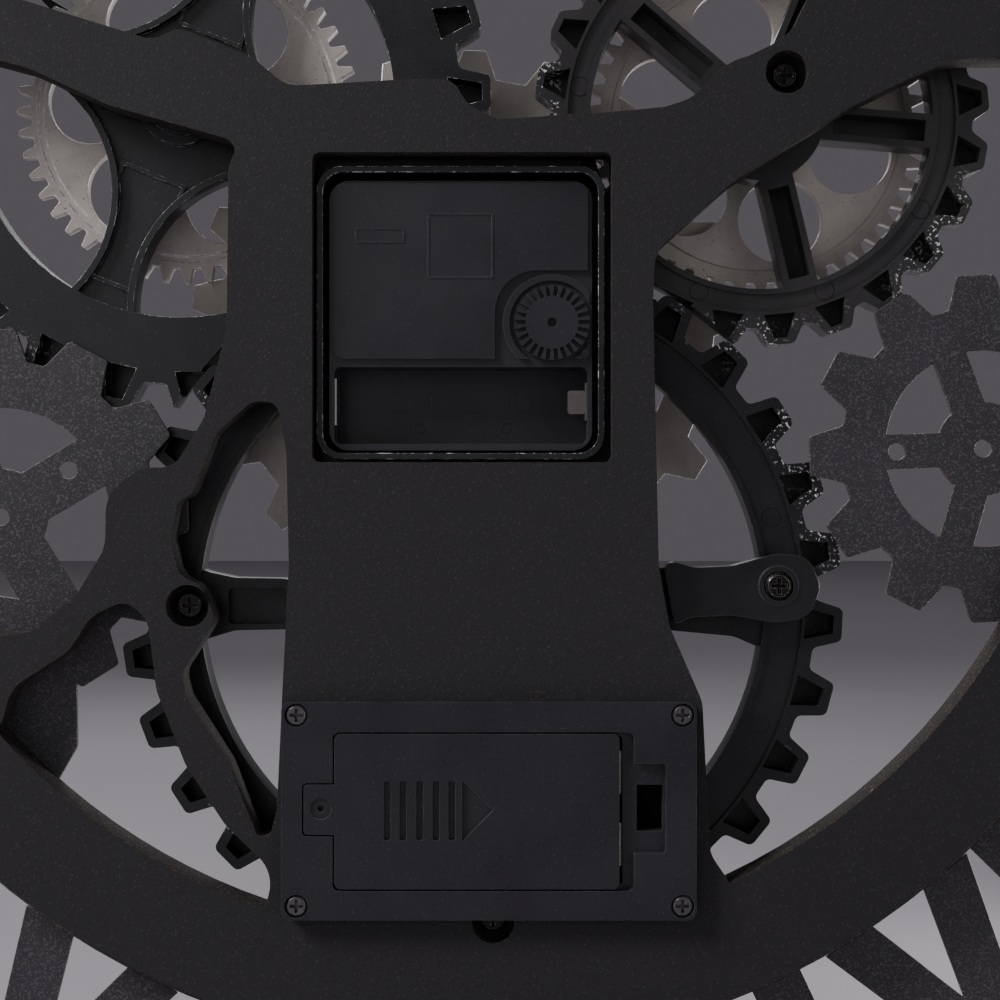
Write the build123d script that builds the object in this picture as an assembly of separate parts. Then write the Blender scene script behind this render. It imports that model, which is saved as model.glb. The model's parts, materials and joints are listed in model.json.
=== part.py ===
"""Gear skeleton wall clock: board frame, sheet dial, moulded gear rings, quartz movement and gear drive.

Millimetres, +Z up, -Y towards the viewer of the dial. The hand axis is the Y axis.
Depths are counted forwards from the back face of the board frame, and sketches are drawn in X and Z.
"""
from build123d import *
from math import acos, atan2, cos, degrees, hypot, pi, radians, sin, tan
import os

# ---- Driving dimensions ----
BACK_Y = 17.25                      # Y of the frame's back face, so that the clock is centred on its depth
FRAME_THICK = 9.0
FRAME_RING = (132.0, 154.2)         # inner and outer radius of the board ring
SHEET = (9.0, 10.2)                 # depths of the sheet-steel dial
GEAR_BACK, GEAR_FRONT = 11.0, 19.0  # depths of the moulded gear rings
GEAR_SKIN = 2.0                     # front skin left over the hollow backs
DIAL_INNER_RING = (140.0, 157.5)
DIAL_OUTER_RING = (203.0, 225.0)
WHEEL_BACK, WHEEL_FRONT = 20.5, 23.5        # depths of the turning train
STAR_BACK, STAR_FRONT = 24.5, 26.0

LOWER_GEAR = (-3.4, -61.7)          # centres, as X and Z
RIGHT_GEAR = (61.3, 46.1)
LEFT_GEAR = (-63.2, 43.2)
LEFT_SHEET_GEAR = (-111.4, -27.9)
RIGHT_SHEET_GEAR = (100.2, -42.6)

TRAIN_MODULE = 1.52
DRIVE_TEETH, ROTOR_TEETH, PINION_TEETH = 54, 48, 9
ROTOR_REACH = TRAIN_MODULE * (DRIVE_TEETH + ROTOR_TEETH) / 2
RIGHT_ROTOR_ANGLE, LEFT_ROTOR_ANGLE, PINION_ANGLE = 37.2, 145.6, 270.0
RUNNING = 0.05                      # radial running clearance of a wheel on its post

POST_R = 3.0                        # shoulder of the posts that the side gears turn on
PIN_BOSS_R = 8.0                    # boss that the drive gear turns on

SCREW_SPOTS = {"upper_left": (-67.8, 51.2), "branch": (58.5, -61.3), "ring": (-5.9, -127.8)}
BRIDGE_SCREW = (-66.9, -57.3)
SCREW_HEAD_R, SCREW_SHANK_R = 2.9, 1.5
COUNTERBORE_R, COUNTERBORE_DEPTH = 4.5, 5.0

POCKET = ((-29.5, -30.3), (31.5, 31.9))     # outside corners of the movement pocket
POCKET_WALL = 1.3
CASE = ((-27.0, -28.4), (29.0, 29.1))       # outside corners of the movement
CASE_BACK, CASE_JOIN, CASE_FRONT = 5.0, 11.0, 17.4
BAY_FLOOR = 16.2
KNOB = (-18.4, -1.3)
LABEL_BOXES = [((-5.9, 8.2), (8.1, 22.0)), ((13.0, 15.7), (23.4, 18.9))]    # blank raised outlines on the case
POLE_MARKS = ((14.7, -17.7), (-12.0, -17.7))   # plus and minus, on the floor of the cell bay

FLANGE = ((-48.4, -126.7), (38.3, -81.1))   # battery box flange
FLANGE_PROUD = 3.5
TRAY = ((-34.5, -121.0), (28.5, -87.0))     # outside of the cell tray
TRAY_DEPTH = 14.0
BOX_WALL = 1.5
DOOR = ((-32.3, -120.2), (27.2, -87.8))
DOOR_THICK = 1.5
LOCK_WINDOW = ((-41.5, -108.3), (-36.0, -98.6))
DOOR_TRAVEL = 2.8
FLANGE_SCREWS = [(x, z) for x in (-45.5, 35.2) for z in (-123.8, -83.9)]
MOTOR_EAR = 14.0                    # motor screws, either side of its shaft
HANGER = (0.0, 143.0)
HANGER_HOLES = 11.5                 # hanger screws, either side of the keyhole
PAINT_FILM = 0.05                   # the hanger plate lies on the board's paint

NUMERAL_BAR = 11.4
NUMERAL_SPREAD = 18.8               # half width of a V or X at its open end
NUMERAL_WIDTH = {"I": 4.3, "V": 14.0, "X": 14.0}     # degrees taken at the inner ring
NUMERAL_GAP = 2.0
NUMERALS = ["XII", "I", "II", "III", "IV", "V", "VI", "VII", "VIII", "IX", "X", "XI"]

CANNON_TEETH, MINUTE_TEETH, MINUTE_PINION, HOUR_TEETH, KNOB_TEETH = 12, 36, 10, 40, 12
CENTRE_TEETH, THIRD_PINION, THIRD_TEETH, SECOND_PINION, SECOND_TEETH = 60, 8, 64, 8, 48
MOTION_MODULE, CENTRE_MODULE, THIRD_MODULE, SECOND_MODULE = 0.43, 0.28, 0.26, 0.30
THIRD_ANGLE, SECOND_ANGLE = 60.0, 10.0      # directions of the train's next axes
ROTOR_AXIS = (12.0, 24.6)
ARBOR_R, PIPE_R, BUSHING_R = 1.6, 2.6, 4.0
PIVOT_R = 0.6

parts = {}


# ---- Sketch and solid helpers ----
def slab(sketch, start, end):
    """A sketch drawn in X and Z, made solid between two depths."""
    return extrude(Plane.XZ.offset(start - BACK_Y) * sketch, end - start, dir=(0, -1, 0))


def disc(radius, centre=(0, 0)):
    return Pos(*centre) * Circle(radius)


def annulus(inner, outer, centre=(0, 0)):
    return disc(outer, centre) - disc(inner, centre)


def panel(corners, corner_radius=0.0):
    """A rectangle between two opposite corners, with rounded corners if asked."""
    (x0, z0), (x1, z1) = corners
    width, height = x1 - x0, z1 - z0
    shape = RectangleRounded(width, height, corner_radius) if corner_radius else Rectangle(width, height)
    return Pos((x0 + x1) / 2, (z0 + z1) / 2) * shape


def grown(corners, by):
    (x0, z0), (x1, z1) = corners
    return ((x0 - by, z0 - by), (x1 + by, z1 + by))


def facing_forwards(sketch):
    """The same sketch with its normal along +Z, so that sketches join whichever way they were drawn."""
    face = sketch.face()
    return Sketch() + (face if face.normal_at().Z > 0 else -face)


def soft_outline(points, radius):
    """A closed outline whose corners are rounded, each as far as its two runs allow."""
    radii = []
    for before, here, after in zip(points[-1:] + points[:-1], points, points[1:] + points[:1]):
        run_in = hypot(here[0] - before[0], here[1] - before[1])
        run_out = hypot(after[0] - here[0], after[1] - here[1])
        turn = abs(atan2(here[1] - before[1], here[0] - before[0]) - atan2(after[1] - here[1], after[0] - here[0]))
        turn = min(turn, 2 * pi - turn)
        radii.append(min(radius, 0.45 * min(run_in, run_out) / max(tan(turn / 2), 0.01)))
    return facing_forwards(make_face(FilletPolyline(*points, radius=radii, close=True)))


def sharp_outline(*points):
    """A closed outline with plain corners."""
    return facing_forwards(make_face(Polyline(*points, close=True)))


def turned(sketch, angle, centre=(0, 0)):
    """A sketch drawn round the origin, turned and then put on its centre."""
    return Pos(*centre) * Rot(0, 0, angle) * sketch


def teeth(count, tip_radius, root_radius, tip_width, root_width, phase=0.0, centre=(0, 0), rounding=0.0):
    """A toothed disc with straight flanks and, if asked, rounded corners; a tooth points along phase."""
    points = []
    for index in range(count):
        middle = radians(phase + 360 / count * index)
        root_half, tip_half = root_width / root_radius / 2, tip_width / tip_radius / 2
        for radius, turn in ((root_radius, -root_half), (tip_radius, -tip_half),
                             (tip_radius, tip_half), (root_radius, root_half)):
            points.append((centre[0] + radius * cos(middle + turn), centre[1] + radius * sin(middle + turn)))
    return soft_outline(points, rounding) if rounding else sharp_outline(*points)


def train_wheel(count, module, phase=0.0, centre=(0, 0)):
    """A gear of the running trains, with backlash at the flanks and clearance at the roots."""
    pitch_radius = count * module / 2
    return teeth(count, pitch_radius + 0.9 * module, pitch_radius - 1.15 * module,
                 0.75 * module, 1.9 * module, phase, centre)


def meshed_phase(phase, count, next_count, direction):
    """The phase of the next wheel, which lies along direction, so that it is in mesh."""
    return direction + 180 - (phase - direction) * count / next_count + 180 / next_count


def polar(radius, angle, centre=(0, 0)):
    return (centre[0] + radius * cos(radians(angle)), centre[1] + radius * sin(radians(angle)))


def screw(spot, head_depth, head_height, head_radius, tip_depth, shank_radius, cross=0.8):
    """A cross-headed screw that points forwards, its head towards the back."""
    head = slab(disc(head_radius, spot), head_depth, head_depth + head_height)
    head = chamfer(head.faces().sort_by(Axis.Y)[-1].edges(), head_height * 0.3)
    body = head + slab(disc(shank_radius, spot), head_depth + head_height, tip_depth)
    arm, width = head_radius * 1.2, head_radius * 0.28
    recess = Pos(*spot) * (Rectangle(arm, width) + Rectangle(width, arm))
    return body - slab(recess, head_depth, head_depth + head_height * cross)


def group(solids):
    return Compound(children=[solid for item in solids for solid in item.solids()])


# ---- Axes of the gear drive ----
RIGHT_GEAR_POST = polar(ROTOR_REACH, RIGHT_ROTOR_ANGLE)
LEFT_GEAR_POST = polar(ROTOR_REACH, LEFT_ROTOR_ANGLE)
MOTOR = polar(TRAIN_MODULE * (DRIVE_TEETH + PINION_TEETH) / 2, PINION_ANGLE)


# ---- Board frame ----
def frame_outline():
    """Centre plate, two arms, the branch and the column; its ends lie inside the board ring."""
    plate = soft_outline([
        (-92, 104), (-72, 66.3), (-69, 60), (-64.4, 56.8), (-53.6, 51.6), (-47.6, 45.6), (-42, 43.8), (-30, 42.7),
        (-6.5, 41.2), (-0.2, 44.6), (2.5, 49.7), (15, 49.5), (37.7, 48.2), (44.4, 54), (60.8, 60.6), (65.5, 57.8),
        (93, 66.3), (117, 72.6), (126, 61), (92, 52), (75, 44.2), (49.6, 37), (48.2, 34.7), (49.8, 31.5), (50.2, -3),
        (55, -21.8), (61.4, -32.2), (68, -32), (75.6, -37.6), (75.8, -49), (81.7, -58.7), (91, -66.6), (118, -70),
        (106, -92), (97.8, -87), (95.6, -78.6), (83.5, -70.8), (78.8, -63.4), (71.5, -60), (66.8, -64), (65, -79),
        (58.9, -94.6), (50.6, -107.2), (40, -117.5), (44, -131), (0, -141), (-60, -126), (-51.6, -113.5),
        (-50, -81.5), (-43, -65.4), (-40.8, -52.8), (-39.6, 3), (-40, 13.3), (-56.4, 28), (-80.8, 43.6),
        (-101, 53.4), (-107, 54.1), (-128, 54.1)], 8.0)
    slot = soft_outline([
        (39.6, -18.2), (45, -18.2), (52.4, -25), (57.6, -38), (60.4, -39), (62, -47), (60.4, -54.6), (55.6, -57.2),
        (52.4, -64), (59.8, -75.5), (58.5, -80.6), (49.7, -94.5), (43.6, -110), (41, -109.6), (39.6, -104),
        (38.4, -78), (37.1, -53), (37.6, -29)], 4.0)
    return annulus(*FRAME_RING) + plate - slot


def make_frame():
    outline = frame_outline() - panel(((-30.9, -31.0), (32.2, 34.3)), 1.7) - panel(grown(TRAY, 0.5), 1.0)
    board = slab(outline, 0, FRAME_THICK) - slab(panel(LOCK_WINDOW), 0, FRAME_THICK - 1.5)
    for spot in SCREW_SPOTS.values():
        board -= slab(disc(COUNTERBORE_R, spot), 0, COUNTERBORE_DEPTH)
        board -= slab(disc(SCREW_SHANK_R + 0.2, spot), COUNTERBORE_DEPTH, FRAME_THICK)
    for centre in (RIGHT_GEAR_POST, LEFT_GEAR_POST):
        board -= slab(disc(SCREW_SHANK_R, centre), 3.0, FRAME_THICK)
    board -= slab(disc(7.0, HANGER), 0, 6.0)
    for x in (-HANGER_HOLES, HANGER_HOLES):
        board -= slab(disc(1.2, (x, HANGER[1])), 0, 6.0)
    for spot in FLANGE_SCREWS:
        board -= slab(disc(1.2, spot), 0, 8.0)
    for x in (-MOTOR_EAR, MOTOR_EAR):
        board -= slab(disc(1.0, (x, MOTOR[1])), 3.0, FRAME_THICK)
    return board


# ---- Sheet-steel dial ----
def numeral_letter(letter):
    """One letter, upright, centred on the origin and as tall as the space between the dial's rings."""
    half = (DIAL_OUTER_RING[0] - DIAL_INNER_RING[1]) / 2 + 0.8
    stroke = NUMERAL_BAR / 2 * 1.04
    if letter == "I":
        return Rectangle(NUMERAL_BAR, 2 * half)
    if letter == "V":
        apex, notch = 4.4, NUMERAL_SPREAD - 2 * stroke
        outer = sharp_outline((-NUMERAL_SPREAD, half), (-apex, -half), (apex, -half), (NUMERAL_SPREAD, half))
        return outer - sharp_outline((-notch, half), (0, half - 24.5), (notch, half))
    across = NUMERAL_SPREAD
    arm = sharp_outline((-across, half), (-across + 2 * stroke, half), (across, -half), (across - 2 * stroke, -half))
    return arm + mirror(arm, about=Plane.YZ)


def numeral(hour):
    """An hour's numeral; the lower half of the dial reads upright, so its letters are turned over."""
    text = NUMERALS[hour]
    flipped = 4 <= hour <= 8
    width = sum(NUMERAL_WIDTH[letter] for letter in text) + NUMERAL_GAP * (len(text) - 1)
    middle_radius = (DIAL_OUTER_RING[0] + DIAL_INNER_RING[1]) / 2
    shape, reached = None, -width / 2
    for letter in text:
        offset = reached + NUMERAL_WIDTH[letter] / 2
        reached += NUMERAL_WIDTH[letter] + NUMERAL_GAP
        clockwise = 30 * hour + (-offset if flipped else offset)
        turn = 180 - clockwise if flipped else -clockwise
        piece = Pos(*polar(middle_radius, 90 - clockwise)) * Rot(0, 0, turn) * numeral_letter(letter)
        shape = piece if shape is None else shape + piece
    return shape


def make_numerals():
    """Twelve numerals, each its own solid, butted between the dial's two rings."""
    between = annulus(DIAL_INNER_RING[1], DIAL_OUTER_RING[0])
    return group([slab(numeral(hour) & between, *SHEET) for hour in range(12)])


def make_outer_ring():
    """The dial's outer ring, with the windows of a minute track cut through it."""
    track_inner, track_outer = DIAL_OUTER_RING[0] + 6, DIAL_OUTER_RING[1] - 5
    window = Pos((track_inner + track_outer) / 2, 0) * Rectangle(track_outer - track_inner, 15.0)
    return slab(annulus(*DIAL_OUTER_RING) - [turned(window, 6 * minute + 3) for minute in range(60)], *SHEET)


def make_sheet_gear(centre, tip_radius, valley_radius, phase, spokes, spoke_phase, spoke_width, window, hub, web=None):
    """A flat twelve-toothed gear with straight spokes, butted against the dial's inner ring."""
    pitch = 2 * pi * valley_radius / 12
    gear = teeth(12, tip_radius, valley_radius, pitch * 0.52, pitch * 0.78, phase, rounding=1.0)
    spoke_rows = [Rot(0, 0, spoke_phase + 360 / spokes * n) * Pos(window / 2, 0) * Rectangle(window, spoke_width)
                  for n in range(spokes)]
    gear -= disc(window) - disc(hub) - spoke_rows
    gear -= disc(1.85)
    gear = Pos(*centre) * gear
    if web:
        gear += soft_outline(web, 3.0)
    return gear & disc(DIAL_INNER_RING[0] - 0.1)


# ---- Moulded gear rings ----
def moulded_ring(count, tip_radius, root_radius, inner_radius, band_radius, tip_width, root_width, phase, wall=2.0):
    """A gear ring with a raised tooth-outline wall and hollow tooth backs, drawn round the origin."""
    outline = teeth(count, tip_radius, root_radius, tip_width, root_width, phase, rounding=1.5)
    ring = slab(outline - disc(inner_radius), GEAR_BACK, GEAR_FRONT)
    pocket = sharp_outline((band_radius, -root_width / 2 + wall * 0.9), (tip_radius - wall, -tip_width / 2 + wall * 0.8),
                     (tip_radius - wall, tip_width / 2 - wall * 0.8), (band_radius, root_width / 2 - wall * 0.9))
    pockets = [Rot(0, 0, phase + 360 / count * n) * pocket for n in range(count)]
    ring -= slab(Sketch() + pockets, GEAR_BACK, GEAR_FRONT - GEAR_SKIN)
    lowered = GEAR_BACK + 0.8
    ring -= slab(annulus(inner_radius + 1.2, band_radius - 0.6), GEAR_BACK, lowered)
    middle = (inner_radius + band_radius) / 2
    ejector_marks = [Pos(*polar(middle, phase + 360 / 9 * n)) * (Circle(2.2) - Circle(1.9)) for n in range(9)]
    return ring - slab(Sketch() + ejector_marks, lowered - 0.1, lowered + 0.2)


def at(centre, solid):
    return Pos(centre[0], 0, centre[1]) * solid


def tray_space():
    return slab(panel(grown(TRAY, 0.6)), -1, TRAY_DEPTH + 1.1)


def pocket_space():
    return slab(panel(grown(POCKET, 0.4), 5.5), 0, 22)


def make_lower_gear():
    """The large ring, with a crossbar whose ends show at both sides of the column."""
    ring = at(LOWER_GEAR, moulded_ring(30, 78.2, 72.2, 61.0, 70.0, 7.0, 10.4, 3.2))
    bar = slab(soft_outline([(62, -51.5), (56, -54.5), (50, -55.8), (38, -56), (32, -61), (-34, -61), (-42, -56),
                             (-58, -54.5), (-66, -51), (-66, -72), (-58, -68.5), (-42, -67), (-34, -66.5), (32, -66.5),
                             (38, -67), (50, -67.2), (56, -69), (62, -73)], 6.0), GEAR_BACK + 1, GEAR_FRONT)
    bar -= slab(panel(((38.9, -65.8), (51.5, -58.0)), 1.0), GEAR_BACK, GEAR_BACK + 3.5)
    ring += bar
    for spot in (SCREW_SPOTS["branch"], SCREW_SPOTS["ring"]):
        ring += slab(disc(4.5, spot), FRAME_THICK, GEAR_BACK + 2)
    for spot in (SCREW_SPOTS["branch"], SCREW_SPOTS["ring"], BRIDGE_SCREW):
        ring -= slab(disc(SCREW_SHANK_R + 0.02, spot), 0, 17.2)
    ring -= tray_space()
    return ring - pocket_space()


def make_upper_right_gear():
    """A ring with four curved spokes, left between four round openings."""
    wheel = slab(teeth(24, 67.3, 60.8, 7.2, 10.6, 12.8, rounding=1.4), GEAR_BACK, GEAR_FRONT)
    pocket = sharp_outline((58.0, -3.4), (65.3, -1.9), (65.3, 1.9), (58.0, 3.4))
    wheel -= slab(Sketch() + [Rot(0, 0, 12.8 + 15 * n) * pocket for n in range(24)], GEAR_BACK, GEAR_FRONT - GEAR_SKIN)
    openings = [Pos(*polar(48.0, -23.4 + 90 * n)) * Circle(29.2) for n in range(4)]
    wheel -= slab(disc(46.3) & (Sketch() + openings), GEAR_BACK - 1, GEAR_FRONT + 1)
    rims = [Pos(*polar(48.0, -23.4 + 90 * n)) * annulus(29.2, 30.6) for n in range(4)]
    lowered = disc(46.3) - disc(9.0) - (Sketch() + rims) - (Sketch() + openings)
    wheel -= slab(lowered, GEAR_BACK, GEAR_BACK + 2.0)
    ribs = [Rot(0, 0, 21.6 + 90 * n) * Pos(29, 0) * (Rectangle(26, 15) - Rectangle(24.4, 13.4)) for n in range(4)]
    wheel += slab((Sketch() + ribs) & lowered, GEAR_BACK + 1.2, GEAR_BACK + 2.1)
    wheel += slab(disc(7.0), FRAME_THICK, GEAR_BACK + 1)
    wheel -= slab(disc(POST_R + RUNNING), 0, 30)
    wheel = at(RIGHT_GEAR_POST, wheel)
    return wheel - slab(disc(79.2, LOWER_GEAR), 0, 30) - pocket_space()


def make_upper_left_gear():
    """A smaller ring with shallow teeth, a round hub and five channelled spokes."""
    ring = moulded_ring(24, 49.3, 45.6, 37.1, 42.6, 5.4, 9.6, 9.8, wall=1.5)
    spokes = Sketch() + [Rot(0, 0, 184.6 + 72 * n) * Pos(25, 0) * Rectangle(26, 7.4) for n in range(5)]
    channels = Sketch() + [Rot(0, 0, 184.6 + 72 * n) * Pos(25.5, 0) * Rectangle(20, 4.6) for n in range(5)]
    ring += slab(disc(13.6) + spokes, GEAR_BACK, GEAR_FRONT)
    ring -= slab(channels, GEAR_BACK, GEAR_FRONT - GEAR_SKIN)
    ring += slab(disc(7.0), FRAME_THICK, GEAR_BACK + 1)
    ring -= slab(disc(POST_R + RUNNING), 0, 30)
    wheel = at(LEFT_GEAR_POST, ring)
    spot = SCREW_SPOTS["upper_left"]
    wheel += slab(disc(4.0, spot) - disc(POST_R + RUNNING, LEFT_GEAR_POST), FRAME_THICK, GEAR_BACK + 1)
    wheel -= slab(disc(SCREW_SHANK_R + 0.02, spot), 0, 17.2)
    return wheel - slab(disc(79.0, LOWER_GEAR), 0, 30) - pocket_space()


def make_bridge():
    """The lug plate from the column to the large ring; a thinner tongue lies behind the column."""
    lug = slab(soft_outline([(-42.0, -51.4), (-49, -53.4), (-57, -53), (-66.5, -50.4), (-73.4, -50.9), (-76, -57.6),
                             (-73.4, -64.2), (-66, -65.2), (-57, -63.6), (-48, -64), (-44.6, -66)], 5.0), 6.0, GEAR_BACK)
    lug += slab(panel(((-46, -64), (-30, -53.5)), 1.0), FRAME_THICK, GEAR_BACK)
    lug += slab(disc(4.3, BRIDGE_SCREW), 5.6, 6.5)
    lug -= slab(disc(SCREW_SHANK_R + 0.1, BRIDGE_SCREW), 0, 30)
    return lug - slab(disc(SCREW_HEAD_R + 0.25, BRIDGE_SCREW), 0, 6.9)


# ---- Gear drive ----


def make_drive_gear():
    gear = slab(train_wheel(DRIVE_TEETH, TRAIN_MODULE), WHEEL_BACK, WHEEL_FRONT)
    gear += slab(disc(12.0), WHEEL_FRONT - 1, STAR_BACK) + slab(disc(10.0), STAR_BACK, 27.2)
    gear -= slab(Sketch() + [Pos(*polar(26, 30 + 60 * n)) * Circle(8.5) for n in range(6)], 0, 40)
    return gear - slab(disc(PIN_BOSS_R + RUNNING), 0, 40)


def make_star_gear():
    """A star of twenty-one broad teeth, pressed on the drive gear's hub."""
    star = teeth(21, 61.6, 55.3, 5.2, 9.9, 108.8)
    star -= disc(46.5) - disc(16.0) - [Rot(0, 0, 90 + 120 * n) * Pos(31, 0) * Rectangle(32, 9) for n in range(3)]
    return slab(star - disc(10.02), STAR_BACK, STAR_FRONT)


def make_rotor(centre, direction, hole_phase):
    """A silver gear with six round holes, a thin raised circle and a hub that runs on its post."""
    phase = meshed_phase(0.0, DRIVE_TEETH, ROTOR_TEETH, direction)
    wheel = slab(train_wheel(ROTOR_TEETH, TRAIN_MODULE, phase), WHEEL_BACK, WHEEL_FRONT)
    wheel -= slab(annulus(31.9, 33.2), WHEEL_BACK, WHEEL_BACK + 0.5)
    holes = Sketch() + [Pos(*polar(21.6, hole_phase + 60 * n)) * Circle(9.3) for n in range(6)]
    wheel -= slab(holes, 0, 40)
    return at(centre, wheel - slab(disc(POST_R + RUNNING), 0, 40))


def shoulder_screw(centre):
    """The post of a silver gear: a shoulder screw through the moulded hub into the board."""
    post = slab(disc(SCREW_SHANK_R - 0.02, centre), 3.2, FRAME_THICK) + slab(disc(POST_R, centre), FRAME_THICK, 23.9)
    cap = slab(disc(5.5, centre), 23.9, 25.4)
    return post + cap - slab(Pos(*centre) * Rectangle(8, 1.2), 24.8, 26)


def make_motor():
    """A flat geared motor on the front of the board, between the column and the drive gear."""
    can = slab(disc(10.0, MOTOR), FRAME_THICK, 19.0)
    can = chamfer(can.faces().sort_by(Axis.Y)[0].edges(), 0.8)
    ears = panel(((MOTOR[0] - 17, MOTOR[1] - 3), (MOTOR[0] + 17, MOTOR[1] + 3)), 2.5)
    body = can + slab(ears, FRAME_THICK, FRAME_THICK + 1.2)
    for x in (-MOTOR_EAR, MOTOR_EAR):
        body -= slab(disc(1.1, (x, MOTOR[1])), 0, 12)
    return body - slab(disc(1.25 + RUNNING, MOTOR), 12.0, 20)


def make_pinion():
    phase = meshed_phase(0.0, DRIVE_TEETH, PINION_TEETH, PINION_ANGLE)
    pinion = slab(train_wheel(PINION_TEETH, TRAIN_MODULE, phase, MOTOR), WHEEL_BACK, WHEEL_FRONT)
    return pinion + slab(disc(1.25, MOTOR), 12.4, WHEEL_BACK)


# ---- Movement ----
MOTION_REACH = MOTION_MODULE * (CANNON_TEETH + MINUTE_TEETH) / 2
HOUR_MODULE = 2 * MOTION_REACH / (MINUTE_PINION + HOUR_TEETH)
KNOB_REACH = hypot(*KNOB)
KNOB_ANGLE = degrees(atan2(KNOB[1], KNOB[0]))
MINUTE_ANGLE = KNOB_ANGLE - degrees(acos(KNOB_REACH / 2 / MOTION_REACH))
MINUTE_AXIS = polar(MOTION_REACH, MINUTE_ANGLE)
THIRD_AXIS = polar(CENTRE_MODULE * (CENTRE_TEETH + THIRD_PINION) / 2, THIRD_ANGLE)
SECOND_AXIS = polar(THIRD_MODULE * (THIRD_TEETH + SECOND_PINION) / 2, SECOND_ANGLE, THIRD_AXIS)


def make_pocket():
    """A thin square wall round the movement, a skirt behind the board's opening, a floor and a boss."""
    inner = panel(grown(POCKET, -POCKET_WALL), 4.2)
    wall = slab(panel(POCKET, 5.3), 3.0, GEAR_FRONT) - slab(inner, 3.0, CASE_FRONT + 0.1)
    boss = slab(disc(PIN_BOSS_R), GEAR_FRONT, 27.5)
    (x0, z0), (x1, z1) = POCKET
    rim = panel(((x0 - 4, z0 - 3.6), (x1 + 3, z1 + 4.6)), 3.0) - panel(((x0 - 6, z1 - 8), (x0 + 5, z1 + 6)))
    skirt = slab(rim, FRAME_THICK + 0.1, GEAR_BACK - 0.2) - slab(inner, 3.0, CASE_FRONT + 0.1)
    return wall + skirt + boss - slab(disc(BUSHING_R + 0.6), 0, 40)


def bay_outline():
    return panel(((-26.0, -27.0), (28.0, -10.6)), 1.5)


def bay_marks():
    """Raised marks on the cell bay's floor: a step, a blank box, two ejector rings, and plus and minus in rings."""
    marks = panel(((-25.9, -26.9), (27.9, -21.2)))
    marks += panel(((-9.0, -19.9), (8.0, -15.4)), 1.0) - panel(((-8.6, -19.5), (7.6, -15.8)), 0.7)
    marks -= annulus(0.9, 1.25, (10.1, -23.4)) + annulus(0.9, 1.25, (-8.9, -23.4))
    for mark in POLE_MARKS:
        marks += annulus(1.85, 2.25, mark) + Pos(*mark) * Rectangle(2.2, 0.45)
    return marks + Pos(*POLE_MARKS[0]) * Rectangle(0.45, 2.2)


def make_back_case():
    """The back shell: raised panel, fluted-knob corner, open cell bay and the wheels' back bearings."""
    (x0, z0), (x1, z1) = CASE
    shell = slab(panel(CASE, 4.2), CASE_BACK, CASE_JOIN)
    raised = panel(((x0 + 1, -8.9), (x1 - 0.8, z1 - 0.7)), 2.5)
    knob_corner = panel(((x0 - 12, -22), (-6.2, 9.9)), 9.0)
    shell += slab(raised - knob_corner, 4.0, CASE_BACK)
    shell += slab(annulus(9.0, 10.4, KNOB) & panel(((x0 + 0.6, -8.9), (-6.8, 9.4))), 3.9, CASE_BACK)
    for corners in LABEL_BOXES:
        shell += slab(panel(corners, 0.4) - panel(grown(corners, -0.35), 0.1), 3.8, 4.2)
    shell -= slab(panel(((x0 + 1.2, -9.2), (x1 - 1.2, z1 - 1.2)), 3.0), 6.4, CASE_JOIN)
    shell -= slab(bay_outline(), 0, CASE_JOIN)
    shell -= slab(disc(1.5 + RUNNING, KNOB), 0, 12)
    for axis, wheel_back in ((THIRD_AXIS, 8.6), (SECOND_AXIS, 7.0), (ROTOR_AXIS, 6.8), ((0, 0), 8.5), (MINUTE_AXIS, 12.4)):
        shell += slab(disc(1.6, axis), 6.2, wheel_back - 0.3) - slab(disc(PIVOT_R + RUNNING, axis), 5.6, 20)
        shell -= slab(disc(PIVOT_R + RUNNING, axis), 5.6, 6.6)
    return shell


def make_front_case():
    """The front shell, which carries the cell bay's floor, the bushing and the front bearings."""
    (x0, z0), (x1, z1) = CASE
    shell = slab(panel(CASE, 4.2), CASE_JOIN, CASE_FRONT)
    shell -= slab(panel(((x0 + 1.2, -9.2), (x1 - 1.2, z1 - 1.2)), 3.0), CASE_JOIN, 16.2)
    shell -= slab(bay_outline(), CASE_JOIN, BAY_FLOOR)
    shell += slab(bay_marks(), BAY_FLOOR - 0.25, BAY_FLOOR + 0.1)
    shell += slab(disc(BUSHING_R), CASE_FRONT, 30.6)
    for axis, wheel_front in ((THIRD_AXIS, 15.4), (SECOND_AXIS, 9.8), (ROTOR_AXIS, 10.2), (MINUTE_AXIS, 15.6)):
        shell += slab(disc(1.5, axis), wheel_front + 0.3, 16.4)
        shell -= slab(disc(PIVOT_R + RUNNING, axis), wheel_front, 16.8)
    return shell - slab(disc(PIPE_R + RUNNING), 15.5, 40)


def make_centre_wheel():
    """Centre wheel, cannon pinion and the arbor that carries the minute hand."""
    wheel = slab(train_wheel(CENTRE_TEETH, CENTRE_MODULE), 10.4, 11.4)
    wheel += slab(train_wheel(CANNON_TEETH, MOTION_MODULE), 12.2, 13.8)
    wheel += slab(disc(ARBOR_R), 10.2, 36.5)
    return wheel + slab(disc(PIVOT_R), 5.9, 10.2)


def pivoted(wheel, axis, back, front):
    """A wheel with a thin pivot through it."""
    return wheel + slab(disc(PIVOT_R, axis), back, front)


def make_third_wheel():
    pinion_phase = meshed_phase(0.0, CENTRE_TEETH, THIRD_PINION, THIRD_ANGLE)
    wheel = slab(train_wheel(THIRD_TEETH, THIRD_MODULE, 0.0, THIRD_AXIS), 8.6, 9.6)
    wheel += slab(train_wheel(THIRD_PINION, CENTRE_MODULE, pinion_phase, THIRD_AXIS), 9.6, 11.6)
    return pivoted(wheel, THIRD_AXIS, 6.0, 16.5)


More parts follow.
